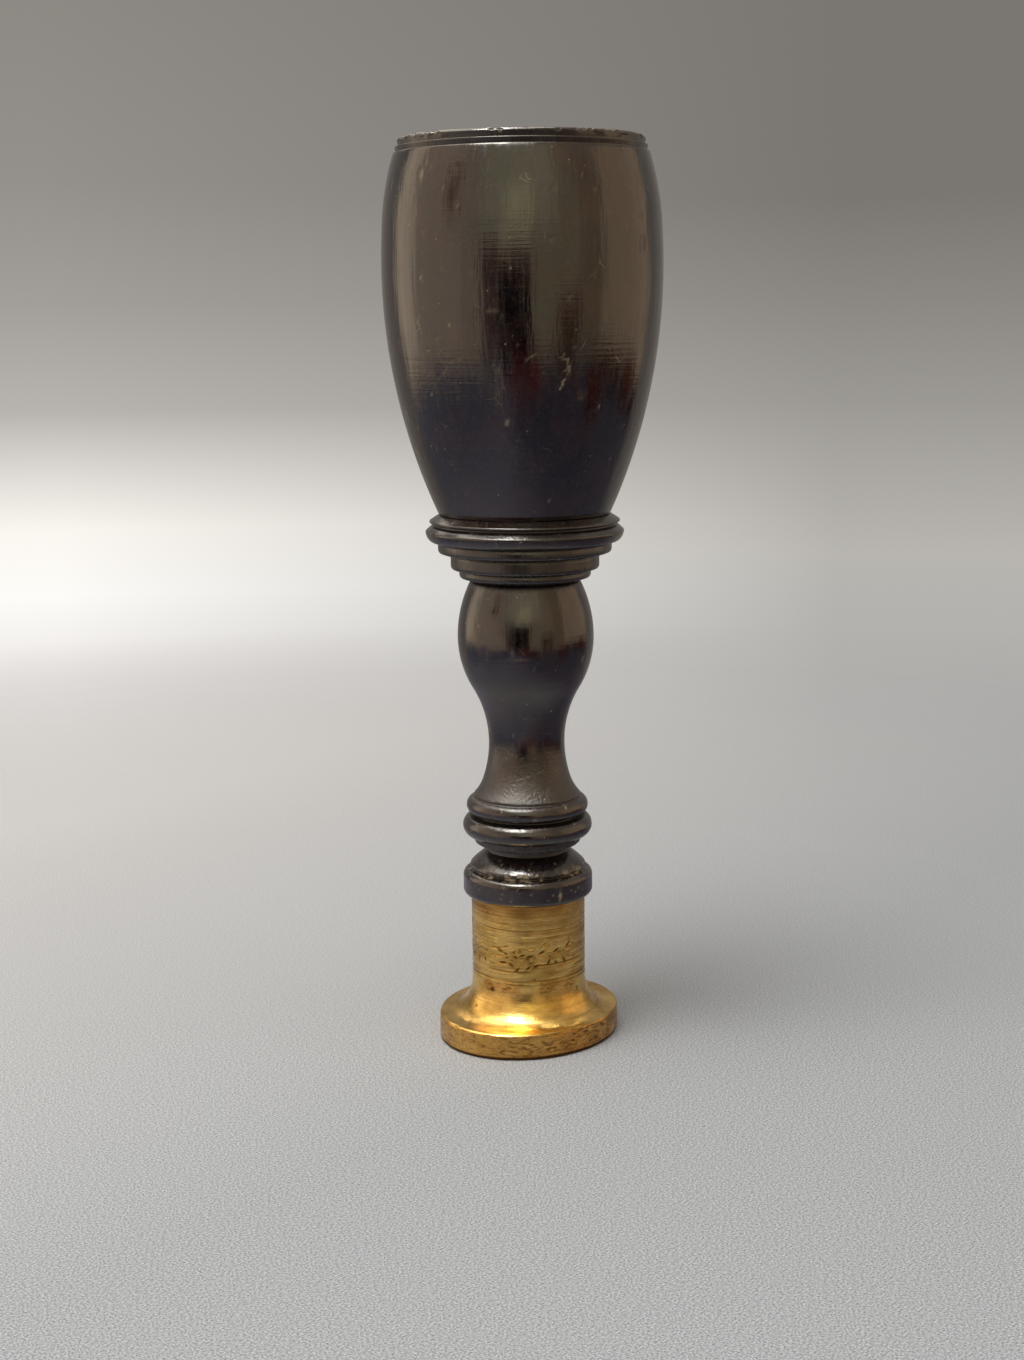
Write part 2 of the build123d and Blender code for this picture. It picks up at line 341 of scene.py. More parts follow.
def knots_of(outline, ease):
    """Points with the direction of the curve through each. A corner becomes two knots, closer together in a crevice."""
    knots = [(outline[0], (outline[1] - outline[0]).normalized(), False)]
    for before, point, after in zip(outline, outline[1:], outline[2:]):
        arriving, leaving = point - before, after - point
        if arriving.angle(leaving) > CORNER:
            is_outer = arriving.x * leaving.z > arriving.z * leaving.x
            room = min(ease if is_outer else ease / 4, 0.45 * arriving.length, 0.45 * leaving.length)
            knots.append((point - arriving.normalized() * room, arriving.normalized(), True))
            knots.append((point + leaving.normalized() * room, leaving.normalized(), False))
            continue
        longer, shorter = max(arriving, leaving, key=lambda run: run.length), min(arriving.length, leaving.length)
        direction = arriving.normalized() * leaving.length + leaving.normalized() * arriving.length
        if longer.length > 3 * shorter:
            direction = longer
        knots.append((point, direction.normalized(), False))
    knots.append((outline[-1], (outline[-1] - outline[-2]).normalized(), False))
    return knots


def fair(outline, ease, spacing):
    """A smooth outline: spacing gives the distance between its points in mm at a radius and height."""
    knots = knots_of(without_spare_points(outline), ease)
    faired = []
    for (start, start_way, is_corner), (end, end_way, _) in zip(knots, knots[1:]):
        reach = (end - start).length / 3
        middle = (start + end) / 2
        pieces = max(3 if is_corner else 1, math.ceil(3 * reach / spacing(middle.x, middle.z)))
        curve = interpolate_bezier(start, start + start_way * reach, end - end_way * reach, end, pieces + 1)
        faired.extend(curve[:-1])
    return faired + [knots[-1][0]]


# %% [markdown]
# ## The lathe, in Geometry Nodes
#
# A turned piece is its outline swept round the axis, a shape that follows a rule, so a node tree can make it. A Screw
# modifier or the Spin tool does the same. Nodes keep the number of steps as a named input, and later trees can build
# on the lathe. A grid gets one column for each step round and one row for each outline point, then each grid point
# is sent to its outline point and turned about the axis. Welding closes the seam and the two poles.

# %% Lathe tree
WELD_DISTANCE = 0.001 * MM
LATHE_INPUTS = [("Outline", "Geometry"), ("Steps Around", "Int"), ("Weld Distance", "Float"), ("Finish", "Material")]


def new_geometry_tree(name, inputs, output):
    """An empty geometry tree with named inputs, each with its kind, and one output."""
    tree = bpy.data.node_groups.new(name, "GeometryNodeTree")
    for label, kind in inputs:
        tree.interface.new_socket(label, in_out="INPUT", socket_type="NodeSocket" + kind)
    tree.interface.new_socket(output, in_out="OUTPUT", socket_type="NodeSocketGeometry")
    return tree


lathe = new_geometry_tree("lathe", LATHE_INPUTS, "Turned")
add = functools.partial(put, lathe)
given = add("NodeGroupInput").outputs
counted = add("GeometryNodeAttributeDomainSize", {"Geometry": given["Outline"]}, component="MESH")
rows = counted.outputs["Point Count"]
columns = add("ShaderNodeMath", {0: given["Steps Around"], 1: 1.0}, operation="ADD")
grid = add("GeometryNodeMeshGrid", {"Vertices X": columns, "Vertices Y": rows})
number = add("GeometryNodeInputIndex")
row = add("ShaderNodeMath", {0: number, 1: rows}, operation="MODULO")
column_share = add("ShaderNodeMath", {0: number, 1: rows}, operation="DIVIDE")
column = add("ShaderNodeMath", {0: column_share}, operation="FLOOR")
turn_share = add("ShaderNodeMath", {0: column, 1: given["Steps Around"]}, operation="DIVIDE")
turn = add("ShaderNodeMath", {0: turn_share, 1: math.tau}, operation="MULTIPLY")
position = add("GeometryNodeInputPosition")
on_outline = add("GeometryNodeSampleIndex",
                 {"Geometry": given["Outline"], "Value": position, "Index": row}, data_type="FLOAT_VECTOR")
swept = add("ShaderNodeVectorRotate", {"Vector": on_outline, "Angle": turn}, rotation_type="Z_AXIS")
placed = add("GeometryNodeSetPosition", {"Geometry": grid, "Position": swept})
welded = add("GeometryNodeMergeByDistance", {"Geometry": placed, "Distance": given["Weld Distance"]})
smooth = add("GeometryNodeSetShadeSmooth", {"Geometry": welded})
realized = add("GeometryNodeRealizeInstances", {"Geometry": smooth})
finished = add("GeometryNodeSetMaterial", {"Geometry": realized, "Material": given["Finish"]})
add("NodeGroupOutput", {"Turned": finished})
print("lathe tree:", len(lathe.nodes), "nodes")


# %% Run a tree on an outline
def turn_piece(name, outline, tree, sizes):
    """Runs a lathe tree on an outline in mm and keeps the result as a plain mesh object."""
    wire = bpy.data.meshes.new(name + "_outline")
    wire.from_pydata([point * MM for point in outline], [(i, i + 1) for i in range(len(outline) - 1)], [])
    blank = show(name + "_outline", wire)
    turning = blank.modifiers.new("turning", "NODES")
    turning.node_group = tree
    for socket in tree.interface.items_tree:
        if socket.in_out == "INPUT" and socket.name in sizes:
            turning[socket.identifier] = sizes[socket.name]
    evaluated = blank.evaluated_get(bpy.context.evaluated_depsgraph_get())
    mesh = bpy.data.meshes.new_from_object(evaluated)
    bpy.data.objects.remove(blank)
    mesh.name = name
    shell = bmesh.new()
    shell.from_mesh(mesh)
    bmesh.ops.recalc_face_normals(shell, faces=shell.faces)
    open_edges = sum(len(edge.link_faces) != 2 for edge in shell.edges)
    shell.to_mesh(mesh)
    shell.free()
    piece = show(name, mesh)
    print(name, len(mesh.vertices), "vertices,", len(mesh.polygons), "faces,", open_edges, "open edges")
    return piece


# %% [markdown]
# ## Wear, shared by all pieces
#
# Dents, chips and rubbed edges sit in the surface itself, so they are pressed into the mesh. A mark is given by its
# place, as the turn from the front in degrees and the height in mm, its size, slant and depth, and how much pale
# wood it lays bare. Sculpting by hand would do the same, but numbers can be repeated and moved. Everything is pressed
# inwards, so a worn piece never grows.

# %% Wear tools
FRONT = math.atan2(to_camera.y, to_camera.x)
WAVES = 20


def smoothstep(low, high, value):
    """0 up to the first value, 1 from the second on, and a smooth rise between them."""
    share = np.clip((value - low) / (high - low), 0, 1)
    return share * share * (3 - 2 * share)


class Surface:
    """The points of a turned mesh in mm, as radius, turn from the front and height, with marks pressed into them."""

    def __init__(self, piece):
        self.mesh = piece.data
        flat = np.empty(len(self.mesh.vertices) * 3)
        self.mesh.vertices.foreach_get("co", flat)
        self.points = flat.reshape(-1, 3) / MM
        flat_normals = np.empty(len(self.mesh.vertices) * 3)
        self.mesh.vertex_normals.foreach_get("vector", flat_normals)
        self.normals = flat_normals.reshape(-1, 3)
        self.radius = np.hypot(self.points[:, 0], self.points[:, 1])
        self.turn = (np.arctan2(self.points[:, 1], self.points[:, 0]) - FRONT + math.pi) % math.tau - math.pi
        self.degrees = np.degrees(self.turn)
        self.height = self.points[:, 2].copy()
        outward = (self.normals[:, 0:2] * self.points[:, 0:2]).sum(axis=1)
        self.outside = (outward > 0.02 * self.radius).astype(float)
        self.sunk = np.zeros(len(self.points))
        self.layers = {}
        self.ragged = smoothstep(-0.35, 0.2, self.noise(0.3, 99))

    def noise(self, size, seed, drawn_out=1.0):
        """Smooth noise, mostly from -1 to 1, with lumps of about that size in mm, drawn out along the axis: waves
        added in random directions."""
        dice = np.random.default_rng(seed)
        ways = dice.normal(size=(3, WAVES))
        ways /= np.linalg.norm(ways, axis=0)
        pace = math.pi / (size * dice.uniform(0.7, 1.4, WAVES))
        pace = pace / np.array((1, 1, drawn_out))[:, None]
        return np.cos(self.points @ (ways * pace) + dice.uniform(0, math.tau, WAVES)).sum(axis=1) / 8

    def offset(self, turn, height):
        """How far each point lies from a place, round the piece and up it, in mm."""
        away = (self.turn - math.radians(turn) + math.pi) % math.tau - math.pi
        return away * self.radius, self.height - height

    def spread(self, turn, height, wide, tall, slant=0.0):
        """1 in the middle of a mark, falling to 0 at its edge."""
        along, rise = self.offset(turn, height)
        lean = math.radians(slant)
        across = along * math.cos(lean) + rise * math.sin(lean)
        upward = rise * math.cos(lean) - along * math.sin(lean)
        distance = (across / (wide / 2)) ** 2 + (upward / (tall / 2)) ** 2
        return np.exp(-distance ** 2) * self.outside

    def sink(self, amount):
        """Presses the surface in, where it isn't deeper already."""
        self.sunk = np.maximum(self.sunk, amount)

    def stain(self, layer, amount):
        """Raises a named layer to an amount, where it is lower."""
        self.layers[layer] = np.maximum(self.layers.get(layer, 0.0), amount)

    def press(self, turn, height, wide, tall, slant, depth, bare):
        """A dent that lays wood bare, ragged at its edge."""
        strength = self.spread(turn, height, wide, tall, slant)
        self.sink(strength * depth)
        self.stain("bare", strength * bare * (0.35 + 0.65 * self.ragged))

    def scratch(self, turn, height, path, wide, depth, bare):
        """A fine line through points given in mm, round the piece and up it, from a place."""
        along, rise = self.offset(turn, height)
        nearest = np.full(len(along), 9.0)
        for (x0, z0), (x1, z1) in zip(path, path[1:]):
            run = (x1 - x0) ** 2 + (z1 - z0) ** 2
            share = np.clip(((along - x0) * (x1 - x0) + (rise - z0) * (z1 - z0)) / run, 0, 1)
            gap = np.hypot(along - x0 - share * (x1 - x0), rise - z0 - share * (z1 - z0))
            nearest = np.minimum(nearest, gap)
        strength = np.exp(-(nearest / (wide / 2)) ** 2) * self.outside
        self.sink(strength * depth)
        self.stain("bare", strength * bare)

    def keep(self):
        """Writes the marked points and the layers back to the mesh."""
        moved = (self.points - self.normals * self.sunk[:, None]) * MM
        self.mesh.vertices.foreach_set("co", moved.ravel())
        for layer, amount in self.layers.items():
            values = self.mesh.attributes.new(layer, "FLOAT", "POINT")
            values.data.foreach_set("value", np.clip(amount, 0, 1).astype(np.float32))
        self.mesh.update()
        print("pressed in by up to", round(self.sunk.max(), 2), "mm, layers", sorted(self.layers))


# %% [markdown]
# ## The head
#
# The barrel grip has two narrow flats cut round it just below its top edge, each standing on a tiny ledge that catches
# the light. The CAD model has a rounded line there: the outline is squared off to the real cut before it is turned.
# Falls have chipped the stain off at the sides, the top edge is rubbed bright, and the rest carries nicks and scuffs.

# %% Turn the head
head_foot, head_top = (corner[2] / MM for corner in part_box("head"))
CROWN_HEIGHT = 0.5
TOP_EDGE = head_top - CROWN_HEIGHT
FLATS = ((TOP_EDGE - 1.51, TOP_EDGE - 0.88), (TOP_EDGE - 0.88, TOP_EDGE - 0.27))
LEDGE_SLOPE = 0.02
FLAT_LEAN = 0.16
LIP_ROUND = (0.04, 0.07)
INNERMOST_FLAT = 12.0


def radius_at(outline, height):
    """The outermost radius of an outline at a height."""
    reach = 0.0
    for start, end in zip(outline, outline[1:]):
        if start.z != end.z and min(start.z, end.z) <= height <= max(start.z, end.z):
            share = (height - start.z) / (end.z - start.z)
            reach = max(reach, start.x + share * (end.x - start.x))
    return reach


def with_flats(outline):
    """Replaces the bands between the incised lines by flats that lean in at the foot, each over a narrow ledge."""
    lip_inward, lip_drop = LIP_ROUND
    band_foot, band_top = FLATS[0][0] - lip_drop, FLATS[-1][1]
    band = [i for i, point in enumerate(outline) if point.x > INNERMOST_FLAT and band_foot < point.z < band_top]
    cuts = []
    for ledge, upper_edge in FLATS:
        lip_radius = cuts[-1].x if cuts else radius_at(outline, ledge - lip_drop)
        if cuts:
            cuts[-1].z -= lip_drop
        else:
            cuts.append(Vector((lip_radius, 0, ledge - lip_drop)))
        cuts.append(Vector((lip_radius - lip_inward, 0, ledge)))
        flat_radius = radius_at(outline, upper_edge)
        cuts.append(Vector((flat_radius - FLAT_LEAN, 0, ledge + LEDGE_SLOPE)))
        cuts.append(Vector((flat_radius, 0, upper_edge)))
    return outline[:band[0]] + cuts + outline[band[-1] + 1:]


def head_spacing(radius, height):
    """Points lie closest at the flats, and far apart in the hidden socket."""
    if height > TOP_EDGE and radius < 12.3:
        return 0.35
    if radius < 8:
        return 2.0
    if height > FLATS[0][0] - 0.3:
        return 0.08
    return 0.2 if 69.5 < height < 75.5 else 0.36


HEAD_EASE = 0.08
HEAD_STEPS = 400
head_outline = fair(with_flats(outlines["head"]), HEAD_EASE, head_spacing)
head = turn_piece("head_grip", head_outline, lathe,
                  {"Steps Around": HEAD_STEPS, "Weld Distance": WELD_DISTANCE, "Finish": wood})

# %% Marks on the head
# Turn, height, width, tallness, slant, depth, and how much wood is bare
HEAD_MARKS = [
    (-46, 91.8, 0.6, 0.9, 0, 0.06, 0.22),
    (-44, 93, 0.26, 0.9, 15, 0.03, 0.15),
    (-69, 91.1, 0.26, 1.3, 0, 0.05, 0.3),
    (-33, 90.4, 0.26, 0.26, 0, 0.05, 0.3),
    (-27, 92.2, 0.27, 0.35, 0, 0.06, 0.2),
    (-26, 88.5, 0.42, 0.26, 25, 0.05, 0.25),
    (5, 92.6, 0.3, 0.26, -20, 0.05, 0.3),
    (12, 90, 0.36, 0.26, 0, 0.04, 0.15),
    (36, 87.7, 0.26, 0.26, 0, 0.05, 0.35),
    (30, 89.9, 0.42, 0.42, 0, 0.05, 0.1),
    (55, 84.9, 0.9, 1.6, -15, 0.22, 0.12),
    (54, 87.7, 0.5, 0.9, -15, 0.12, 0.05),
    (46, 86.6, 0.4, 0.8, 0, 0.1, 0.05),
    (11, 85.1, 0.36, 0.63, 30, 0.05, 0.1),
    (29, 81.9, 0.26, 1.4, -10, 0.04, 0.12),
    (-33, 82.6, 0.3, 0.42, 30, 0.05, 0.12),
    (-44, 81.8, 0.26, 0.26, 0, 0.05, 0.4),
    (18, 79.9, 0.42, 0.26, 20, 0.05, 0.2),
    (-9, 77.9, 0.3, 1.1, -10, 0.04, 0.12),
    (-31, 77.1, 0.26, 0.28, 0, 0.05, 0.6),
    (-37, 75.9, 0.45, 0.24, 10, 0.06, 0.6),
    (-43, 74.7, 0.5, 0.24, -25, 0.06, 0.6),
    (-64, 75.4, 0.36, 0.42, 40, 0.05, 0.35),
    (21, 74.9, 0.36, 0.26, 30, 0.04, 0.25),
    (25, 70.3, 0.9, 1.2, -20, 0.06, 0.12),
    (35, 68.9, 0.24, 0.4, 0, 0.05, 0.45),
    (-8, 67.5, 0.55, 0.55, 0, 0.07, 0.45),
    (-46, 66.7, 0.24, 0.5, -15, 0.05, 0.4),
    (-44, 70.4, 0.24, 0.24, 0, 0.05, 0.35),
    (-10, 66, 0.26, 0.5, 20, 0.04, 0.15),
    (14, 59.6, 0.3, 0.35, 0, 0.05, 0.3),
    (10, 62.7, 0.84, 0.26, 15, 0.03, 0.1),
]
# Fine scratches: turn, height, how much wood is bare, and points in mm from there
HEAD_SCRATCHES = [
    (17, 72.9, 0.4, ((-0.1, 1.4), (-0.4, 1.0), (-0.1, 0.75), (0.2, 0.9), (0.35, 0.3), (0.2, -0.2), (-0.15, -0.35))),
    (17, 72.9, 0.5, ((0.3, 0.35), (0.55, -0.1), (0.3, -0.6), (0.35, -0.85))),
    (17, 72.9, 0.6, ((0.05, -1.1), (-0.25, -1.35), (-0.2, -1.7), (-0.45, -2.1))),
    (3, 73.9, 0.35, ((-0.5, -0.25), (-0.1, 0.1), (0.35, 0.35))),
    (-32, 77.0, 0.1, ((0, 0), (0.6, -0.1), (1.3, 0))),
    (-12, 78.4, 0.14, ((-0.7, 0.0), (-0.1, 0.1), (0.5, 0))),
    (-12, 78.9, 0.1, ((0.1, -0.5), (0.2, 0.2), (0.1, 0.7))),
    (-16, 82.2, 0.08, ((-1.3, -0.05), (-0.5, 0.05), (0.8, 0))),
]
surface = Surface(head)
for mark in HEAD_MARKS:
    surface.press(*mark)
for turn_from_front, height, bare_wood, path in HEAD_SCRATCHES:
    surface.scratch(turn_from_front, height, path, 0.16, 0.03, bare_wood)
BACK_NICKS = 70
FRONT_PINPRICKS = 50
chance = random.Random(7)
for _ in range(BACK_NICKS):
    across, tall = chance.uniform(0.25, 0.5), chance.uniform(0.25, 0.6)
    surface.press(chance.uniform(62, 288), chance.uniform(head_foot + 3, head_top - 4), across, tall,
                  chance.uniform(-60, 60), chance.uniform(0.03, 0.07), chance.uniform(0.1, 0.4))
for _ in range(FRONT_PINPRICKS):
    surface.press(chance.uniform(-85, 75), chance.uniform(head_foot + 2, head_top - 3), 0.25,
                  chance.uniform(0.25, 0.4), chance.uniform(-60, 60), 0.03, chance.uniform(0.05, 0.22))

# %% Wear of the rim and sides
RUBBED_RADIUS = 12.7
RUBBED_HEIGHT = TOP_EDGE - 0.12
RUBBED_REACH = 0.34
CHIP_DEPTH = 0.2
sides = smoothstep(24, 40, np.abs(surface.degrees + 2))
from_edge = np.hypot(surface.radius - RUBBED_RADIUS, surface.height - RUBBED_HEIGHT)
near_rim = np.exp(-(from_edge / RUBBED_REACH) ** 2)
chips = smoothstep(0.32, 0.5, surface.noise(0.8, 1) + 0.5 * surface.noise(0.35, 2) + 0.45 * sides) * near_rim
surface.sink(chips * CHIP_DEPTH)
surface.stain("bare", chips * smoothstep(-0.1, 0.4, surface.noise(0.4, 3)) * 0.35)
in_flats = (surface.height > FLATS[0][0] + 0.06) & (surface.height < FLATS[1][1]) & (surface.radius > INNERMOST_FLAT)
surface.stain("dirt_and_shade", 0.8 * in_flats * (np.abs(surface.normals[:, 2]) < 0.35))
surface.stain("rubbed", near_rim * (0.1 + 0.45 * sides))
grain = surface.noise(0.28, 4, 8.0) + 0.5 * surface.noise(1.5, 8)
left_strip = surface.spread(-77, 65.5, 3.2, 11.0) * smoothstep(0.2, 1.0, grain)
surface.stain("bare", left_strip * 0.7)
surface.stain("coarse", 0.03 + 0.07 * smoothstep(0.1, 0.6, surface.noise(3.0, 5)))
surface.sunk += 0.008 * (1 + surface.noise(6.0, 6)).clip(0, 2)
on_crown = (surface.height > TOP_EDGE) * smoothstep(12.3, 11.8, surface.radius)
surface.sunk += 0.008 * on_crown * (1 + np.sin(surface.radius * math.tau / 1.4 + surface.noise(8.0, 7)))
surface.keep()
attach(head, "handle")
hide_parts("head")

# %% [markdown]
# ## The stem
#
# One turning again: collar, beads, baluster and the stack of rings under the barrel. It was polished less carefully
# than the grip, so the beads and the flare are pitted and the crevices are dull and brown, and painted darker as shade
# under the rings and in the crevices. The quirk above the collar has lost its stain in crumbs, mostly to the right of
# the front, and the collar has a short pale crack over the tang.

# %% Turn the stem
stem_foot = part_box("stem")[0][2] / MM


def stem_spacing(radius, height):
    """Points lie far apart on the hidden tenon and bore, and closest on the rings and beads."""
    if height > head_foot + 0.02 or (radius < 3.2 and height < 27.2):
        return 2.5
    return 0.32 if 27.5 < height < 49.5 else 0.2


STEM_EASE = 0.18
STEM_STEPS = 222
stem_outline = fair(outlines["stem"], STEM_EASE, stem_spacing)
stem = turn_piece("stem_turning", stem_outline, lathe,
                  {"Steps Around": STEM_STEPS, "Weld Distance": WELD_DISTANCE, "Finish": wood})

# %% Wear of the stem
# Turn, height, width, tallness, slant, depth, and how much wood is bare
STEM_MARKS = [
    (58, 42.2, 0.3, 0.7, -10, 0.05, 0.6),
    (-28, 38.2, 0.26, 0.26, 0, 0.04, 0.6),
    (-40, 40.1, 0.26, 0.28, 0, 0.04, 0.24),
    (-44, 46.1, 0.3, 0.35, 0, 0.04, 0.24),
    (-74, 34.6, 0.48, 1.54, 0, 0.03, 0.36),
    (-20, 34, 0.3, 0.28, 20, 0.04, 0.3),
    (-2, 55.4, 0.26, 0.26, 0, 0.03, 0.6),
    (33, 52.7, 0.26, 0.26, 0, 0.03, 0.54),
    (40, 26.5, 0.3, 0.5, 0, 0.08, 0.8),
    (50, 24.6, 0.3, 0.4, 0, 0.08, 0.7),
    (29, 17, 0.3, 1.4, 0, 0.12, 0.75),
]
STEM_SCRATCHES = [
    (-12, 42.7, ((-1.5, -0.1), (0.2, 0), (1.9, 0.15))),
    (-8, 37.9, ((-0.4, 0.05), (0.9, 0))),
    (-22, 32.0, ((-0.5, 0.3), (0.3, -0.2), (1.2, -0.5))),
    (-34, 31.4, ((-0.3, 0), (0.4, 0.3), (0.9, 0.25))),
]
# Heights of the crevices, how far each reaches, and how dull and dark it is: partly dirt, partly painted shade
CREVICES = [(18.85, 0.18, 0.7), (24.78, 0.2, 1.0), (26.8, 0.16, 0.9), (50.45, 0.25, 0.9), (51.4, 0.2, 0.8),
            (53.15, 0.2, 0.9), (54.35, 0.25, 0.9), (56.33, 0.12, 0.9)]
# The same for bands made duller and darker: partly dull polish, partly painted shade next to the rings, beads and
# collar
DULL_AND_SHADED_BANDS = [(20.95, 0.5, 0.95), (22.0, 0.5, 0.7), (50.05, 0.45, 0.8), (50.95, 0.4, 0.7), (52.3, 0.8, 0.85),
              (53.8, 0.5, 0.75), (57.2, 0.3, 0.4)]
STEM_BACK_NICKS = 60
STEM_SPECKS = 150
surface = Surface(stem)
for mark in STEM_MARKS:
    surface.press(*mark)
for turn_from_front, height, path in STEM_SCRATCHES:
    surface.scratch(turn_from_front, height, path, 0.16, 0.02, 0.13)
for _ in range(STEM_BACK_NICKS):
    across, tall = chance.uniform(0.2, 0.4), chance.uniform(0.2, 0.4)
    surface.press(chance.uniform(62, 288), chance.uniform(stem_foot + 1, head_foot - 1), across, tall,
                  chance.uniform(-60, 60), chance.uniform(0.02, 0.06), chance.uniform(0.1, 0.5))
speckle = random.Random(11)
for _ in range(STEM_SPECKS):
    band_foot, band_top = speckle.choice(((16.4, 19.0), (19.5, 27.0), (50.8, 58.2)))
    surface.press(speckle.uniform(-85, 85), speckle.uniform(band_foot, band_top), speckle.uniform(0.2, 0.34),
                  speckle.uniform(0.2, 0.3), 0, 0.03, speckle.uniform(0.15, 0.5))
# Crevices and bands turn darker and duller, partly as painted shade
for height, reach, dull_and_dark in CREVICES + DULL_AND_SHADED_BANDS:
    surface.stain("dirt_and_shade", dull_and_dark * np.exp(-((surface.height - height) / reach) ** 4))
for height, _, dull_and_dark in CREVICES:
    surface.sink(0.16 * dull_and_dark * np.exp(-((surface.height - height) / 0.12) ** 2) * surface.outside)
quirk = np.exp(-(np.hypot(surface.radius - 6.15, surface.height - 18.9) / 0.4) ** 2)
crumbs = surface.noise(0.45, 1) + 0.5 * surface.noise(0.22, 2)
# Turns at which most crumbs are lost, and how much more
worn_side = sum(more * np.exp(-((surface.degrees - turn) / 18) ** 2) for turn, more in ((46, 0.6), (-10, 0.42)))
crumbled = smoothstep(0.42, 0.62, crumbs + worn_side) * quirk
surface.sink(crumbled * 0.15)
surface.stain("bare", crumbled)
surface.layers["dirt_and_shade"] *= 1 - crumbled
surface.stain("rubbed", 0.3 * smoothstep(0.1, 0.6, surface.noise(1.5, 3)))
on_flare = smoothstep(34, 28, surface.height) * smoothstep(26, 27, surface.height)
on_beads = smoothstep(27, 26, surface.height) + smoothstep(49.5, 51, surface.height)
surface.stain("coarse", 0.04 + 0.96 * on_flare + 0.12 * on_beads)
surface.sunk += 0.006 * (1 + surface.noise(5.0, 4)).clip(0, 2)
surface.keep()
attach(stem, "handle")
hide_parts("stem")

# %% [markdown]
# ## The brass matrix
#
# The lathe gives a round matrix as wide as the oval is long, and a second tree squeezes its foot to the oval and cuts
# the screw thread of the tang. The thread is a groove that climbs by its pitch in each turn: the height plus the
# turn's share of a pitch, folded back and forth, gives its vee.

# %% Matrix tree
FACE_LENGTH = 21.1
FACE_WIDTH = 18.4
RIM_HEIGHT = 2.85
COVE_FOOT_RADIUS = 8.85
SHOULDER_HEIGHT = 15.85
TANG_RADIUS = 2.5
THREAD_PITCH = 1.0
THREAD_DEPTH = 0.4

MATRIX_SIZES = ("Face Length", "Face Width", "Rim Height", "Cove Foot Radius", "Tang Foot", "Tang Top",
                "Thread Pitch", "Thread Depth")
matrix_inputs = LATHE_INPUTS + [(size, "Float") for size in MATRIX_SIZES]
matrix_tree = new_geometry_tree("matrix_turning", matrix_inputs, "Matrix")
add = functools.partial(put, matrix_tree)
given = add("NodeGroupInput").outputs
turned = add("GeometryNodeGroup", node_tree=lathe)
for label, _ in LATHE_INPUTS:
    matrix_tree.links.new(given[label], turned.inputs[label])
position = add("GeometryNodeInputPosition")
axes = add("ShaderNodeSeparateXYZ", {"Vector": position}).outputs
level = add("ShaderNodeCombineXYZ", {"X": axes["X"], "Y": axes["Y"]})
radius = add("ShaderNodeVectorMath", {0: level}, operation="LENGTH")

# How far the oval lies inside the round at this turn
width_share = add("ShaderNodeMath", {0: given["Face Length"], 1: given["Face Width"]}, operation="DIVIDE")
stretched_y = add("ShaderNodeMath", {0: axes["Y"], 1: width_share}, operation="MULTIPLY")
stretched = add("ShaderNodeCombineXYZ", {"X": axes["X"], "Y": stretched_y})
stretched_radius = add("ShaderNodeVectorMath", {0: stretched}, operation="LENGTH")
oval_share = add("ShaderNodeMath", {0: radius, 1: stretched_radius}, operation="DIVIDE")
foot_radius = add("ShaderNodeMath", {0: radius, 1: oval_share}, operation="MULTIPLY")

# The land between the cove and the rim is squeezed only at its outer edge
half_length = add("ShaderNodeMath", {0: given["Face Length"], 1: 0.5}, operation="MULTIPLY")
land_edge = add("ShaderNodeMath", {0: half_length, 1: oval_share}, operation="MULTIPLY")
land_radius = add("ShaderNodeMapRange", {"Value": radius, 1: given["Cove Foot Radius"], 2: half_length,
                                         3: given["Cove Foot Radius"], 4: land_edge}, clamp=False)
on_land = add("ShaderNodeMath", {0: radius, 1: given["Cove Foot Radius"]}, operation="GREATER_THAN")
upper_radius = add("ShaderNodeMix", {0: on_land, 2: radius, 3: land_radius})
in_foot = add("ShaderNodeMath", {0: axes["Z"], 1: given["Rim Height"]}, operation="LESS_THAN")
oval_radius = add("ShaderNodeMix", {0: in_foot, 2: upper_radius, 3: foot_radius})

# The thread's vee, fading in above the shoulder and out below the tip
circle_share = add("ShaderNodeMath", {0: axes["Y"], 1: axes["X"]}, operation="ARCTAN2")
turns = add("ShaderNodeMath", {0: circle_share, 1: math.tau}, operation="DIVIDE")
pitches = add("ShaderNodeMath", {0: axes["Z"], 1: given["Thread Pitch"]}, operation="DIVIDE")
climb = add("ShaderNodeMath", {0: pitches, 1: turns}, operation="SUBTRACT")
vee = add("ShaderNodeMath", {0: climb, 1: 0.5}, operation="PINGPONG")
fade_in = add("ShaderNodeMath", {0: given["Tang Foot"], 1: given["Thread Pitch"]}, operation="ADD")
fade_out = add("ShaderNodeMath", {0: given["Tang Top"], 1: given["Thread Pitch"]}, operation="SUBTRACT")
rising = add("ShaderNodeMapRange", {"Value": axes["Z"], 1: given["Tang Foot"], 2: fade_in})
falling = add("ShaderNodeMapRange", {"Value": axes["Z"], 1: given["Tang Top"], 2: fade_out})
run = add("ShaderNodeMath", {0: rising, 1: falling}, operation="MULTIPLY")
vee_depth = add("ShaderNodeMath", {0: vee, 1: given["Thread Depth"]}, operation="MULTIPLY")
doubled = add("ShaderNodeMath", {0: vee_depth, 1: 2.0}, operation="MULTIPLY")
groove = add("ShaderNodeMath", {0: doubled, 1: run}, operation="MULTIPLY")
new_radius = add("ShaderNodeMath", {0: oval_radius, 1: groove}, operation="SUBTRACT")

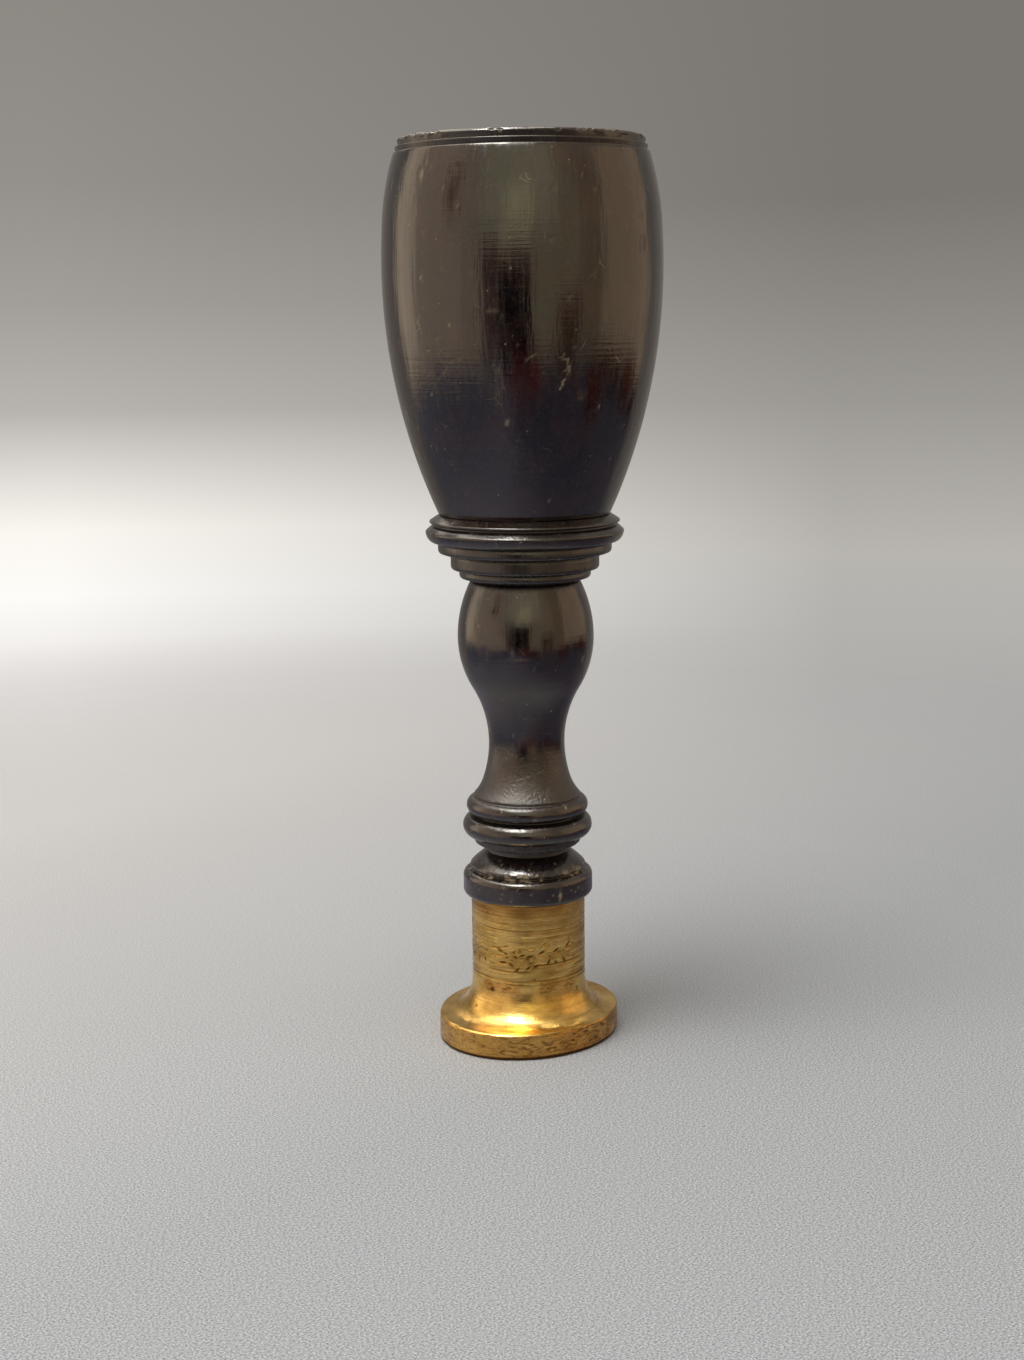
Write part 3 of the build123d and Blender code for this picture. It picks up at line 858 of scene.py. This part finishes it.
safe_radius = add("ShaderNodeMath", {0: radius, 1: 0.0001 * MM}, operation="MAXIMUM")
growth = add("ShaderNodeMath", {0: new_radius, 1: safe_radius}, operation="DIVIDE")
moved_level = add("ShaderNodeVectorMath", {0: level, "Scale": growth}, operation="SCALE")
lift = add("ShaderNodeCombineXYZ", {"Z": axes["Z"]})
moved = add("ShaderNodeVectorMath", {0: moved_level, 1: lift}, operation="ADD")
not_pole = add("FunctionNodeCompare", {0: radius, 1: 0.001 * MM}, operation="GREATER_THAN")
shaped = add("GeometryNodeSetPosition", {"Geometry": turned.outputs["Turned"], "Selection": not_pole,
                                         "Position": moved})
realized = add("GeometryNodeRealizeInstances", {"Geometry": shaped})
finished = add("GeometryNodeSetMaterial", {"Geometry": realized, "Material": given["Finish"]})
add("NodeGroupOutput", {"Matrix": finished})
print("matrix tree:", len(matrix_tree.nodes), "nodes")


# %% Turn the matrix
def matrix_spacing(radius, height):
    """Points lie close enough for the engraved face, the thread and the tool lines."""
    if height < 0.01:
        return 0.12
    if radius < TANG_RADIUS + 0.1:
        return 0.15
    return 0.11 if height < SHOULDER_HEIGHT - 0.02 else 0.5


MATRIX_EASE = 0.07
MATRIX_STEPS = 250
tang_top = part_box("matrix")[1][2]
matrix_outline = fair(outlines["matrix"], MATRIX_EASE, matrix_spacing)
matrix = turn_piece("seal_matrix", matrix_outline, matrix_tree, {
    "Steps Around": MATRIX_STEPS, "Weld Distance": WELD_DISTANCE,
    "Face Length": FACE_LENGTH * MM, "Face Width": FACE_WIDTH * MM,
    "Rim Height": (RIM_HEIGHT - 0.005) * MM, "Cove Foot Radius": COVE_FOOT_RADIUS * MM,
    "Tang Foot": SHOULDER_HEIGHT * MM, "Tang Top": tang_top, "Thread Pitch": THREAD_PITCH * MM,
    "Thread Depth": THREAD_DEPTH * MM, "Finish": brass})

# %% Tool lines and gouges on the shank
surface = Surface(matrix)
on_shank = (surface.height > 6.4) & (surface.height < SHOULDER_HEIGHT - 0.05) & (surface.radius > 5)
wander = 0.12 * surface.noise(9.0, 1)
# Heights and depths of the lines that show most, among many fine ones
DEEP_LINES = [(13.12, 0.04), (12.8, 0.02), (12.29, 0.04), (11.9, 0.03), (9.25, 0.05), (8.95, 0.03), (8.58, 0.06),
              (7.9, 0.03), (7.49, 0.06), (7.1, 0.04)]
LINE_REACH = 0.075
FINE_LINES = 40
fine_lines = [(chance.uniform(6.8, 15.4), chance.uniform(0.008, 0.02)) for _ in range(FINE_LINES)]
for number, (line_height, depth) in enumerate(DEEP_LINES + fine_lines):
    groove = np.exp(-((surface.height + wander - line_height) / LINE_REACH) ** 2) * on_shank
    broken = smoothstep(-0.3, 0.2, surface.noise(3.0, 100 + number))
    surface.sink(groove * broken * depth * 1.4)
    surface.stain("grime_and_shade", groove * broken * min(1.0, depth * 22))
# Gripping marks at the front: turn, height, length and slant
GRIP_MARKS = [(38, 9.6, 1.1, -55), (28, 9.5, 0.6, -50), (20, 9.6, 0.8, 60), (7, 9.2, 0.9, 30), (-1, 9.0, 0.8, 35),
              (-12, 8.8, 0.9, 40), (-18, 9.3, 0.8, -45), (-27, 9.5, 1.0, 0), (-50, 9.4, 0.7, 80), (-60, 9.3, 0.8, 80),
              (-30, 10.8, 0.9, -30), (-24, 10.5, 0.5, -35), (-14, 10.2, 0.8, -20), (-7, 10.4, 0.8, 20),
              (1, 10.3, 1.0, 15), (13, 10.7, 0.9, 25), (28, 10.8, 0.9, 30), (43, 11.2, 1.0, 35)]
GRIP_MARK_WIDTH = 0.3
GRIP_MARK_DEPTH = 0.09
SMALL_GOUGES = 150
for turn_from_front, height, length, slant in GRIP_MARKS:
    gouge = surface.spread(turn_from_front, height, length, GRIP_MARK_WIDTH, slant) * on_shank
    surface.sink(gouge * GRIP_MARK_DEPTH)
    surface.stain("grime_and_shade", gouge)
for _ in range(SMALL_GOUGES):
    gouge = surface.spread(chance.uniform(0, 360), chance.triangular(8.4, 12.4, 10.2), chance.uniform(0.35, 0.9),
                           chance.uniform(0.18, 0.28), chance.triangular(-40, 60, 15)) * on_shank
    surface.sink(gouge * chance.uniform(0.04, 0.12))
    surface.stain("grime_and_shade", gouge * chance.uniform(0.3, 0.9))

# %% Patina, spots and dents
# Turn, height, width, tallness and darkness of the damp spots
SPOTS = [(-40, 6.26, 0.7, 0.6, 0.95), (-57, 4.05, 0.35, 0.3, 0.8), (56, 5.94, 0.3, 0.35, 0.8),
         (5, 7.75, 0.5, 0.3, 0.7), (-8, 7.1, 0.9, 0.3, 0.7), (12, 7.2, 0.5, 0.3, 0.6), (-20, 3.6, 0.25, 0.2, 0.7),
         (24, 4.4, 0.3, 0.2, 0.5)]
SMALL_SPOTS = 40
for turn_from_front, height, wide, tall, darkness in SPOTS:
    surface.stain("grime_and_shade", darkness * surface.spread(turn_from_front, height, wide, tall))
for _ in range(SMALL_SPOTS):
    spot = surface.spread(chance.uniform(0, 360), chance.uniform(2.9, 15), chance.uniform(0.15, 0.4),
                          chance.uniform(0.15, 0.3))
    surface.stain("grime_and_shade", spot * chance.uniform(0.3, 0.9))
# Painted shade and patina: the top of the shank darkens towards the collar
patina_and_shade_under_collar = smoothstep(14.0, 15.8, surface.height + 0.6 * surface.noise(2.0, 2)) * on_shank
surface.stain("grime_and_shade", 0.4 * patina_and_shade_under_collar)
on_rim = ((surface.height < RIM_HEIGHT - 0.12) & (surface.height > 0.05) & (surface.radius > 8.7)).astype(float)
# Painted shade: the rim's side away from the light is darker, broken into patches by noise
shaded_side = smoothstep(-30, 30, (surface.degrees + 100) % 360 - 100)
surface.stain("grime_and_shade", on_rim * (0.05 + 0.4 * shaded_side * smoothstep(-0.2, 0.5, surface.noise(1.2, 3))))
# The rim darkens towards its lower edge: a brown edge and painted contact shade where it meets the table
surface.stain("grime_and_shade", on_rim * smoothstep(0.5, 0.3, surface.height))
surface.sink(0.05 * smoothstep(0.2, 0.6, surface.noise(0.9, 4)) * on_rim)
# Knocks on the upper edge of the rim: turn, width and depth
KNOCKS = [(16, 2.6, 0.14), (33, 1.6, 0.12), (-52, 1.0, 0.06), (118, 2.0, 0.04), (205, 1.4, 0.12)]
for turn_from_front, wide, depth in KNOCKS:
    surface.sink(depth * surface.spread(turn_from_front, RIM_HEIGHT - 0.15, wide, 0.7))
above_cove = np.exp(-((surface.height - 6.6) / 0.9) ** 2) * (surface.radius < 7.2) * (surface.radius > 5)
smudges = smoothstep(-0.1, 0.5, surface.noise(1.6, 5))
# Patina film, heavier as painted shade on the rim's shaded side and under the collar
surface.stain("tarnish_and_shade", (0.66 + 0.3 * shaded_side) * on_rim)
surface.stain("tarnish_and_shade", 0.8 * above_cove * smudges)
surface.stain("tarnish_and_shade", 0.7 * patina_and_shade_under_collar)
surface.stain("tarnish_and_shade", 0.3 * smoothstep(0.0, 0.6, surface.noise(2.5, 6)) * on_shank)

# %% [markdown]
# ## The seal face
#
# The face that meets the wax is cut in intaglio, hollow, so that the wax stands proud. It shows only from below. The
# design is a plain eight-petalled rosette in a beaded border, both common ornaments. A rule gives the depth at every
# point: the petals by the turn about the centre, and the beads by repeating one hollow round the oval.

# %% Engrave the seal face
PETALS = 8
PETAL_REACH = 0.66
PETAL_DEPTH = 0.55
BEADS = 40
BEAD_RING = 0.85
BEAD_RADIUS = 0.5
BEAD_DEPTH = 0.4
across_oval = surface.points[:, 0] / (FACE_LENGTH / 2)
along_oval = surface.points[:, 1] / (FACE_WIDTH / 2)
oval_reach = np.hypot(across_oval, along_oval)
around = np.arctan2(along_oval, across_oval)
petal_wave = np.abs(np.cos(around * PETALS / 2))
petal_edge = PETAL_REACH * (0.2 + 0.8 * petal_wave ** 0.7)
petals = PETAL_DEPTH * smoothstep(0, 0.16, petal_edge - oval_reach) * (1 - 0.45 * smoothstep(0.985, 1.0, petal_wave))
button = smoothstep(0.16, 0.1, oval_reach)
rosette = petals * (1 - 0.75 * button)
bead_share = (around * BEADS / math.tau) % 1 - 0.5
bead_along = bead_share * math.tau / BEADS * surface.radius
bead_across = (oval_reach - BEAD_RING) * surface.radius / np.maximum(oval_reach, 0.01)
bead_hollow = BEAD_DEPTH * np.sqrt(np.clip(1 - (np.hypot(bead_along, bead_across) / BEAD_RADIUS) ** 2, 0, 1))
border_lines = 0.15 * sum(np.exp(-((oval_reach - ring) / 0.012) ** 2) for ring in (0.76, 0.94))
on_face = (surface.height < 0.01) & (surface.normals[:, 2] < -0.9)
surface.sunk = np.where(on_face, np.maximum.reduce([rosette, bead_hollow, border_lines]), surface.sunk)
surface.stain("grime_and_shade", on_face * (0.15 + 0.5 * smoothstep(0.1, 0.4, surface.sunk)))
surface.keep()
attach(matrix, "matrix")
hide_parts("matrix")

# %% [markdown]
# ## Floor, backdrop and light
#
# The stamp stands on a plain pale table that runs into a plain backdrop. The floor is a disc that fades out, so that
# the backdrop behind it can carry the long soft glow, painted into it. The floor itself is painted lighter towards the
# window, and darker where reflections see it further off. A light nearly overhead gives the head's soft shadow, and a
# window to the left evens it out. Polish shows the whole room, so a dome that only reflections see stands for its
# walls: it is painted with soft patches of light.

# %% Floor
FLOOR_RADIUS = 460 * MM
FLOOR_SIDES = 96
HOLE_RADIUS = 8.8 * MM
floor_paint, tree = new_material("pale_grey_paper_with_painted_light")
add = functools.partial(put, tree)
place = add("ShaderNodeTexCoord").outputs["Object"]
grit_noise = add("ShaderNodeTexNoise", {"Vector": place, "Scale": 1 / (0.2 * MM), "Detail": 1.0})
front_way = add("ShaderNodeVectorMath", {0: place, 1: to_camera}, operation="DOT_PRODUCT")
grit_low = add("ShaderNodeMapRange", {"Value": front_way, 1: -0.02, 2: 0.01, 3: -0.2, 4: -0.9})
grit_high = add("ShaderNodeMapRange", {"Value": front_way, 1: -0.02, 2: 0.01, 3: 1.2, 4: 1.9})
grit = add("ShaderNodeMapRange", {"Value": grit_noise, 3: grit_low, 4: grit_high})
# Painted light: the sheet is lighter on the side towards the window and darker on the other
shadow_side = add("ShaderNodeMix", {"Factor": grit, 6: linear("#939598"), 7: linear("#d3d5d5")},
                  data_type="RGBA", clamp_factor=False)
window_side = add("ShaderNodeMix", {"Factor": grit, 6: linear("#c0bebc"), 7: linear("#f8f5f2")},
                  data_type="RGBA", clamp_factor=False)
towards_window = -to_right * 0.75 - to_camera * 0.65
window_way = add("ShaderNodeVectorMath", {0: place, 1: towards_window}, operation="DOT_PRODUCT")
window_share = add("ShaderNodeMapRange", {"Value": window_way, 1: -0.01, 2: 0.12})
window_lit_paper = add("ShaderNodeMix", {"Factor": window_share, 6: shadow_side, 7: window_side}, data_type="RGBA")
distance = add("ShaderNodeVectorMath", {0: place}, operation="LENGTH")
# Painted shade for reflections: the sheet further off is darker and violet there, darker still to the right
is_mirrored = add("ShaderNodeLightPath").outputs["Is Glossy Ray"]
far_share = add("ShaderNodeMapRange", {"Value": distance, 1: 0.02, 2: 0.05})
mirrored_far = add("ShaderNodeMath", {0: is_mirrored, 1: far_share}, operation="MULTIPLY")
right_way = add("ShaderNodeVectorMath", {0: place, 1: to_right}, operation="DOT_PRODUCT")
right_share = add("ShaderNodeMapRange", {"Value": right_way, 1: -0.04, 2: 0.03})
mirrored_paper_shade = add("ShaderNodeMix", {"Factor": right_share, 6: linear("#a9a6b2"), 7: linear("#716c7d")},
                     data_type="RGBA")
paper_and_painted_light = add("ShaderNodeMix", {"Factor": mirrored_far, 6: window_lit_paper, 7: mirrored_paper_shade}, data_type="RGBA")
edge_seen = add("ShaderNodeMapRange", {"Value": distance, 1: 0.09, 2: 0.30})
edge_mirrored = add("ShaderNodeMapRange", {"Value": distance, 1: 0.05, 2: 0.13})
edge = add("ShaderNodeMix", {0: is_mirrored, 2: edge_seen, 3: edge_mirrored})
# Clear from below and under the foot, so that the seal face can be looked at
seen_from_below = add("ShaderNodeNewGeometry").outputs["Backfacing"]
under_foot = add("ShaderNodeMath", {0: distance, 1: HOLE_RADIUS}, operation="LESS_THAN")
not_seen = add("ShaderNodeMath", {0: seen_from_below, 1: under_foot}, operation="MAXIMUM")
see_through = add("ShaderNodeMath", {0: edge, 1: not_seen}, operation="MAXIMUM")
matte = add("ShaderNodeBsdfPrincipled", {"Base Color": paper_and_painted_light, "Roughness": 0.75, "Specular IOR Level": 0.25})
clear = add("ShaderNodeBsdfTransparent")
mixed = add("ShaderNodeMixShader", {0: see_through, 1: matte, 2: clear})
add("ShaderNodeOutputMaterial", {"Surface": mixed})
sheet = bmesh.new()
bmesh.ops.create_circle(sheet, cap_ends=True, radius=FLOOR_RADIUS, segments=FLOOR_SIDES)
floor_mesh = bpy.data.meshes.new("floor")
sheet.to_mesh(floor_mesh)
sheet.free()
floor_mesh.materials.append(floor_paint)
floor = show("floor", floor_mesh)
print("floor disc of", round(floor.dimensions.x / MM), "mm")

# %% Backdrop
world = bpy.data.worlds.new("studio")
bpy.context.scene.world = world
world.use_nodes = True
tree = world.node_tree
tree.nodes.clear()
add = functools.partial(put, tree)
direction = add("ShaderNodeTexCoord").outputs["Generated"]
rise = add("ShaderNodeSeparateXYZ", {"Vector": direction}).outputs["Z"]
height_share = add("ShaderNodeMapRange", {"Value": rise, 1: -0.36, 2: 0.16})
# Painted light: the backdrop glows in a bright band low on the left, from the window, and is darker above and to the
# right
LEFT_BACKDROP_LIGHT = ((0.06, "#cbc8c5"), (0.24, "#e2ddd9"), (0.36, "#eae6e3"), (0.44, "#fefcf8"), (0.5, "#fbf7f1"),
                 (0.61, "#b8b4af"), (0.71, "#a29e99"), (0.82, "#94908b"), (1.0, "#8c8882"))
RIGHT_BACKDROP_LIGHT = ((0.06, "#acacab"), (0.33, "#aeaeac"), (0.47, "#b8b5b0"), (0.55, "#a9a6a1"), (0.61, "#9c9995"),
                  (0.71, "#8a8782"), (0.8, "#7a7773"), (1.0, "#7a7773"))
sides = []
for stops in (LEFT_BACKDROP_LIGHT, RIGHT_BACKDROP_LIGHT):
    fade = add("ShaderNodeValToRGB", {"Fac": height_share})
    set_stops(fade, stops)
    sides.append(fade)
sideways = add("ShaderNodeVectorMath", {0: direction, 1: to_right}, operation="DOT_PRODUCT")
side_share = add("ShaderNodeMapRange", {"Value": sideways, 1: -0.22, 2: 0.16})
seen = add("ShaderNodeMix", {"Factor": side_share, 6: sides[0], 7: sides[1]}, data_type="RGBA")
is_camera = add("ShaderNodeLightPath").outputs["Is Camera Ray"]
shown = add("ShaderNodeMix", {"Factor": is_camera, 6: linear("#908e8c"), 7: seen}, data_type="RGBA")
background = add("ShaderNodeBackground", {"Color": shown, "Strength": 1.0})
add("ShaderNodeOutputWorld", {"Surface": background})
print("backdrop:", len(tree.nodes), "nodes")

# %% The room that the polish mirrors
# Turns and elevations in degrees from the front, colour, brightness, and softness of the edge in degrees
ROOM = [
    ((-180, 180), (-18, 95), "#ffe6cc", 0.55, 3),
    ((122, 238), (-30, 60), "#e6dcd2", 0.36, 8),
    ((-100, -50), (-18, 45), "#ffe4c8", 0.92, 5),
    ((-50, -33), (-22, 45), "#ffe4c8", 0.75, 5),
    ((-120, -98), (-12, 45), "#ffe8cc", 1.5, 6),
    ((-64, -54), (12, 27), "#b98a70", 0.5, 6),
    ((-33, 46), (6, 45), "#fff0c8", 0.85, 6),
    ((-14, 8), (10, 24), "#fff4c0", 1.3, 8),
    ((-33, -20), (-22, 8), "#b08478", 0.38, 6),
    ((-20, 7), (-24, 4), "#2a1c24", 0.06, 5),
    ((7, 28), (-15, 10), "#ffe9bc", 0.56, 5),
    ((28, 46), (-4, 45), "#ffe4b8", 0.6, 6),
    ((28, 46), (-24, -4), "#d8a880", 0.25, 6),
    ((46, 68), (-16, 36), "#ffdcb0", 0.46, 7),
    ((68, 92), (-13.5, 36), "#ffdcb4", 0.85, 6),
    ((92, 120), (-11, 30), "#ffdcb8", 0.8, 6),
    ((-122, -70), (-90, -15.5), "#c8c6da", 0.40, 3),
    ((-70, -8), (-90, -18.5), "#c8c4dc", 0.36, 3),
    ((-8, 60), (-90, -20), "#c8c0e0", 0.17, 6),
    ((50, 76), (-90, -16), "#c8c0dc", 0.18, 5),
    ((70, 122), (-90, -13), "#cfc8dc", 0.22, 5),
    ((122, 238), (-90, -28), "#d0ccd8", 0.3, 9),
    ((70, 122), (-19, -12.5), "#b06a58", 0.15, 4),
    ((-25, -21), (-26, -17), "#ffe8cc", 0.9, 2),
    ((-14, 16), (-25, -17), "#c05848", 0.4, 5),
    ((58, 74), (-27, -15), "#b05838", 0.28, 6),
    ((101, 112), (-16, -11), "#c06038", 0.35, 3),
    ((92, 140), (30, 50), "#ffeed8", 0.35, 8),
    ((40, 140), (36, 82), "#ffeed8", 0.42, 8),
    ((-170, -138), (24, 46), "#fff0e0", 2.0, 8),
    ((140, 215), (40, 75), "#fff2e2", 1.2, 12),
    ((-180, 180), (74, 95), "#fff6ea", 5.0, 12),
    ((-150, -75), (44, 84), "#fff6e8", 3.2, 10),
    ((-100, 10), (46, 80), "#fff8ee", 3.6, 7),
    ((-62, -16), (50, 82), "#fffaf2", 18.0, 7),
]
DOME_RADIUS = 0.42
DOME_CENTRE = UP * 75 * MM
turn_steps, rise_steps = 180, 80
turns, rises = np.meshgrid(np.linspace(-180, 180, turn_steps + 1), np.linspace(-70, 90, rise_steps + 1),
                           indexing="ij")
bent = np.array([noise.noise_vector(Vector((turn / 7, rise / 7, 0)))[:2]
                 for turn, rise in zip(turns.ravel(), rises.ravel())]).reshape(turns.shape + (2,))
glow = np.zeros(turns.shape + (4,))
for (left, right), (low, high), shade, strength, soft in ROOM:
    off_middle = np.abs((turns + soft * 0.5 * bent[..., 0] - (left + right) / 2 + 180) % 360 - 180)
    level = rises + soft * 0.5 * bent[..., 1]
    inside = smoothstep((right - left + soft) / 2, (right - left - soft) / 2, off_middle)
    inside = inside * smoothstep(low - soft / 2, low + soft / 2, level)
    inside = inside * smoothstep(high + soft / 2, high - soft / 2, level)
    light = np.array(linear(shade)) * strength
    glow += inside[..., None] * (light - glow)

sheet = bmesh.new()
columns = []
for turn, column in zip(np.radians(turns), np.radians(rises)):
    ways = [(to_camera * math.cos(t) + to_right * math.sin(t)) * math.cos(r) + UP * math.sin(r)
            for t, r in zip(turn, column)]
    columns.append([sheet.verts.new(way * DOME_RADIUS + DOME_CENTRE) for way in ways])
for left, right in zip(columns, columns[1:]):
    for j in range(rise_steps):
        sheet.faces.new((left[j], right[j], right[j + 1], left[j + 1]))
dome_mesh = bpy.data.meshes.new("room_dome")
sheet.to_mesh(dome_mesh)
sheet.free()
dome_mesh.color_attributes.new("glow", "FLOAT_COLOR", "POINT").data.foreach_set("color", glow.ravel())
room_paint, tree = new_material("painted_room_light")
add = functools.partial(put, tree)
painted = add("ShaderNodeAttribute", attribute_name="glow").outputs["Color"]
emitted = add("ShaderNodeEmission", {"Color": painted, "Strength": 1.0})
add("ShaderNodeOutputMaterial", {"Surface": emitted})
dome_mesh.materials.append(room_paint)
dome = show("room_dome", dome_mesh)
dome.visible_camera = False
dome.visible_diffuse = False
dome.visible_shadow = False
print("room dome with", len(ROOM), "patches, brightest", round(glow.max(), 2))


# %% Lights
def soft_light(name, turn, elevation, distance, size, radiance):
    """A white area light that faces the stamp, given by the brightness of its face and unseen in reflections."""
    data = bpy.data.lights.new(name, "AREA")
    data.shape = "RECTANGLE"
    data.size, data.size_y = size
    data.energy = math.pi * size[0] * size[1] * radiance
    lamp = show(name, data)
    turn, rise = math.radians(turn), math.radians(elevation)
    way = (to_camera * math.cos(turn) + to_right * math.sin(turn)) * math.cos(rise) + UP * math.sin(rise)
    lamp.matrix_world = Matrix.Translation(way * distance) @ way.to_track_quat("Z", "Y").to_matrix().to_4x4()
    lamp.visible_camera = False
    lamp.visible_glossy = False


soft_light("overhead_softbox", -47, 75, 0.6, (0.24, 0.24), 7.4)
soft_light("left_window", -54, 46, 0.6, (0.5, 0.46), 1.5)
soft_light("room_fill", 70, 40, 0.7, (0.5, 0.5), 0.5)
bpy.context.scene.view_settings.view_transform = "Standard"
print("lights:", [light.name for light in bpy.data.lights])
